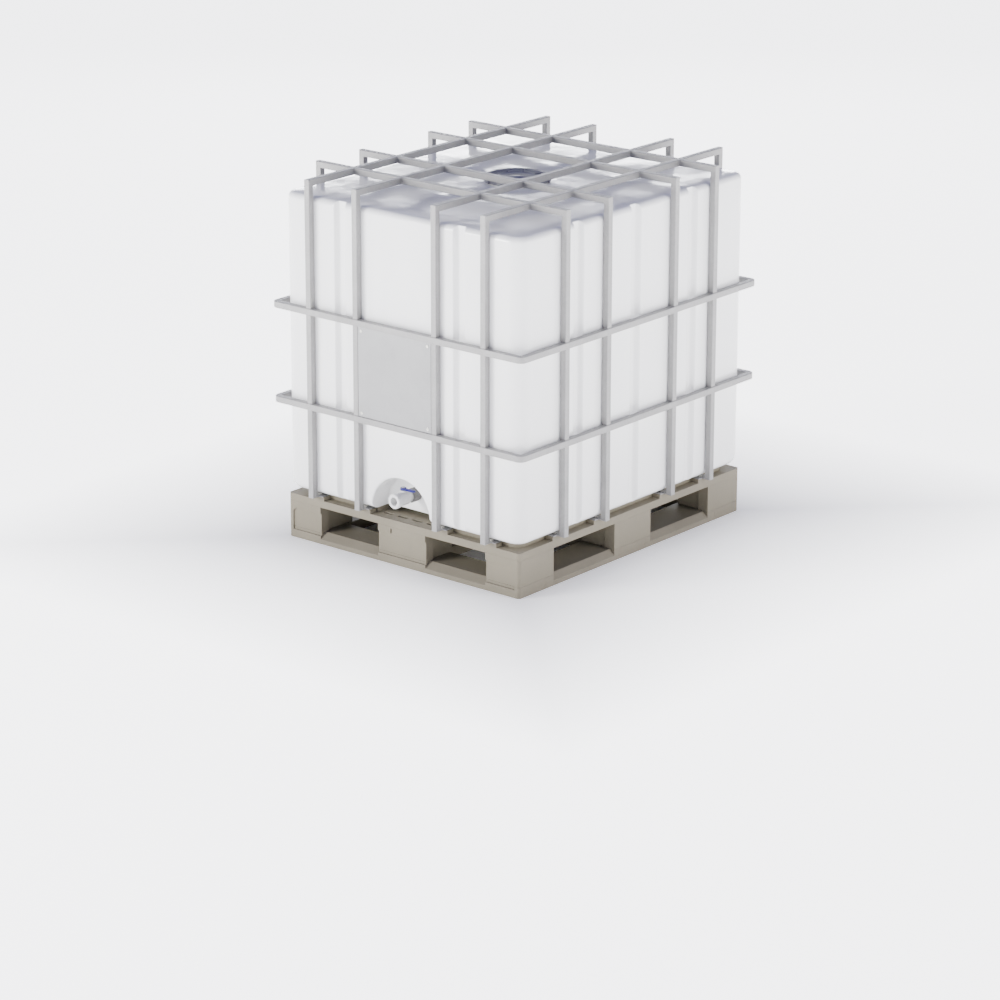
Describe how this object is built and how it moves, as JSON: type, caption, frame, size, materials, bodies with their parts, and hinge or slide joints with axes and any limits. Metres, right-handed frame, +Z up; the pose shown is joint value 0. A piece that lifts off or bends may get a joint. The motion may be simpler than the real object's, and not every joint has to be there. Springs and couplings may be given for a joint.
{
  "type": "intermediate bulk container",
  "caption": "Caged plastic liquid container on a plastic pallet, with a screw lid in the top and a lever ball valve in an arched recess low in the front face.",
  "frame": {"origin": "middle of the pallet's underside, on the floor", "axes": "+Z up; +X along the valve face, to the right of a person who looks at the valve; the valve faces -Y"},
  "size_m": [1.03, 1.209, 1.204],
  "materials": {
    "bottle_plastic": "natural blow-moulded polyethylene, milky and satin",
    "tube_steel": "galvanised steel tube, satin grey",
    "plate_sheet": "plain light grey sheet",
    "zinc_fastener": "zinc plated",
    "pallet_plastic": "moulded warm grey polyethylene",
    "lid_plastic": "moulded black polyethylene, satin",
    "black_rubber": "smooth rubber",
    "valve_plastic": "white moulded plastic",
    "nut_plastic": "grey moulded plastic",
    "seat_plastic": "smooth low-friction plastic",
    "lever_plastic": "blue moulded plastic"
  },
  "bodies": {
    "container": {"bottle": "bottle_plastic", "foot_plates": "tube_steel", "foot_screws": "zinc_fastener", "label_plate": "plate_sheet", "label_rivets": "zinc_fastener", "label_straps": "tube_steel", "pallet_centre_block": "pallet_plastic", "pallet_corner_blocks": "pallet_plastic", "pallet_cross_skids": "pallet_plastic", "pallet_deck": "pallet_plastic", "pallet_edge_blocks": "pallet_plastic", "pallet_long_skids": "pallet_plastic", "post_front_1": "tube_steel", "post_front_2": "tube_steel", "post_front_3": "tube_steel", "post_front_4": "tube_steel", "post_left_1": "tube_steel", "post_left_2": "tube_steel", "post_left_3": "tube_steel", "post_left_4": "tube_steel", "post_rear_1": "tube_steel", "post_rear_2": "tube_steel", "post_rear_3": "tube_steel", "post_rear_4": "tube_steel", "post_right_1": "tube_steel", "post_right_2": "tube_steel", "post_right_3": "tube_steel", "post_right_4": "tube_steel", "ring_lower_front": "tube_steel", "ring_lower_left": "tube_steel", "ring_lower_rear": "tube_steel", "ring_lower_right": "tube_steel", "ring_upper_front": "tube_steel", "ring_upper_left": "tube_steel", "ring_upper_rear": "tube_steel", "ring_upper_right": "tube_steel", "top_bar_cross_1": "tube_steel", "top_bar_cross_2": "tube_steel", "top_bar_cross_3": "tube_steel", "top_bar_cross_4": "tube_steel", "top_bar_long_1": "tube_steel", "top_bar_long_2": "tube_steel", "top_bar_long_3": "tube_steel", "top_bar_long_4": "tube_steel", "valve_body": "valve_plastic", "valve_neck_gasket": "black_rubber", "valve_seat_inner": "seat_plastic", "valve_seat_insert": "valve_plastic", "valve_seat_outer": "seat_plastic", "valve_stem_seal": "black_rubber", "valve_union_nut": "nut_plastic"},
    "valve_lever_and_ball": {"valve_ball": "valve_plastic", "valve_lever": "lever_plastic", "valve_lever_screw": "zinc_fastener", "valve_stem": "valve_plastic"},
    "lid_seal": {"lid_gasket": "black_rubber"},
    "screw_lid": {"fill_lid": "lid_plastic"}
  },
  "joints": [
    {"name": "valve_turn", "type": "hinge", "parent": "container", "child": "valve_lever_and_ball", "pos_m": [0, -0.56, 0.225], "axis": [0, 0, 1], "range_deg": [-90, 0]},
    {"name": "lid_lift", "type": "slide", "parent": "container", "child": "lid_seal", "axis": [0, 0, 1], "range_m": [0, 0.018]},
    {"name": "lid_turn", "type": "hinge", "parent": "lid_seal", "child": "screw_lid", "pos_m": [0, 0, 1.155], "axis": [0, 0, 1], "range_deg": [0, 1080]}
  ],
  "couplings": [
    {"joint": "lid_lift", "follows": "lid_turn", "m_per_rad": 0.0009549}
  ]
}
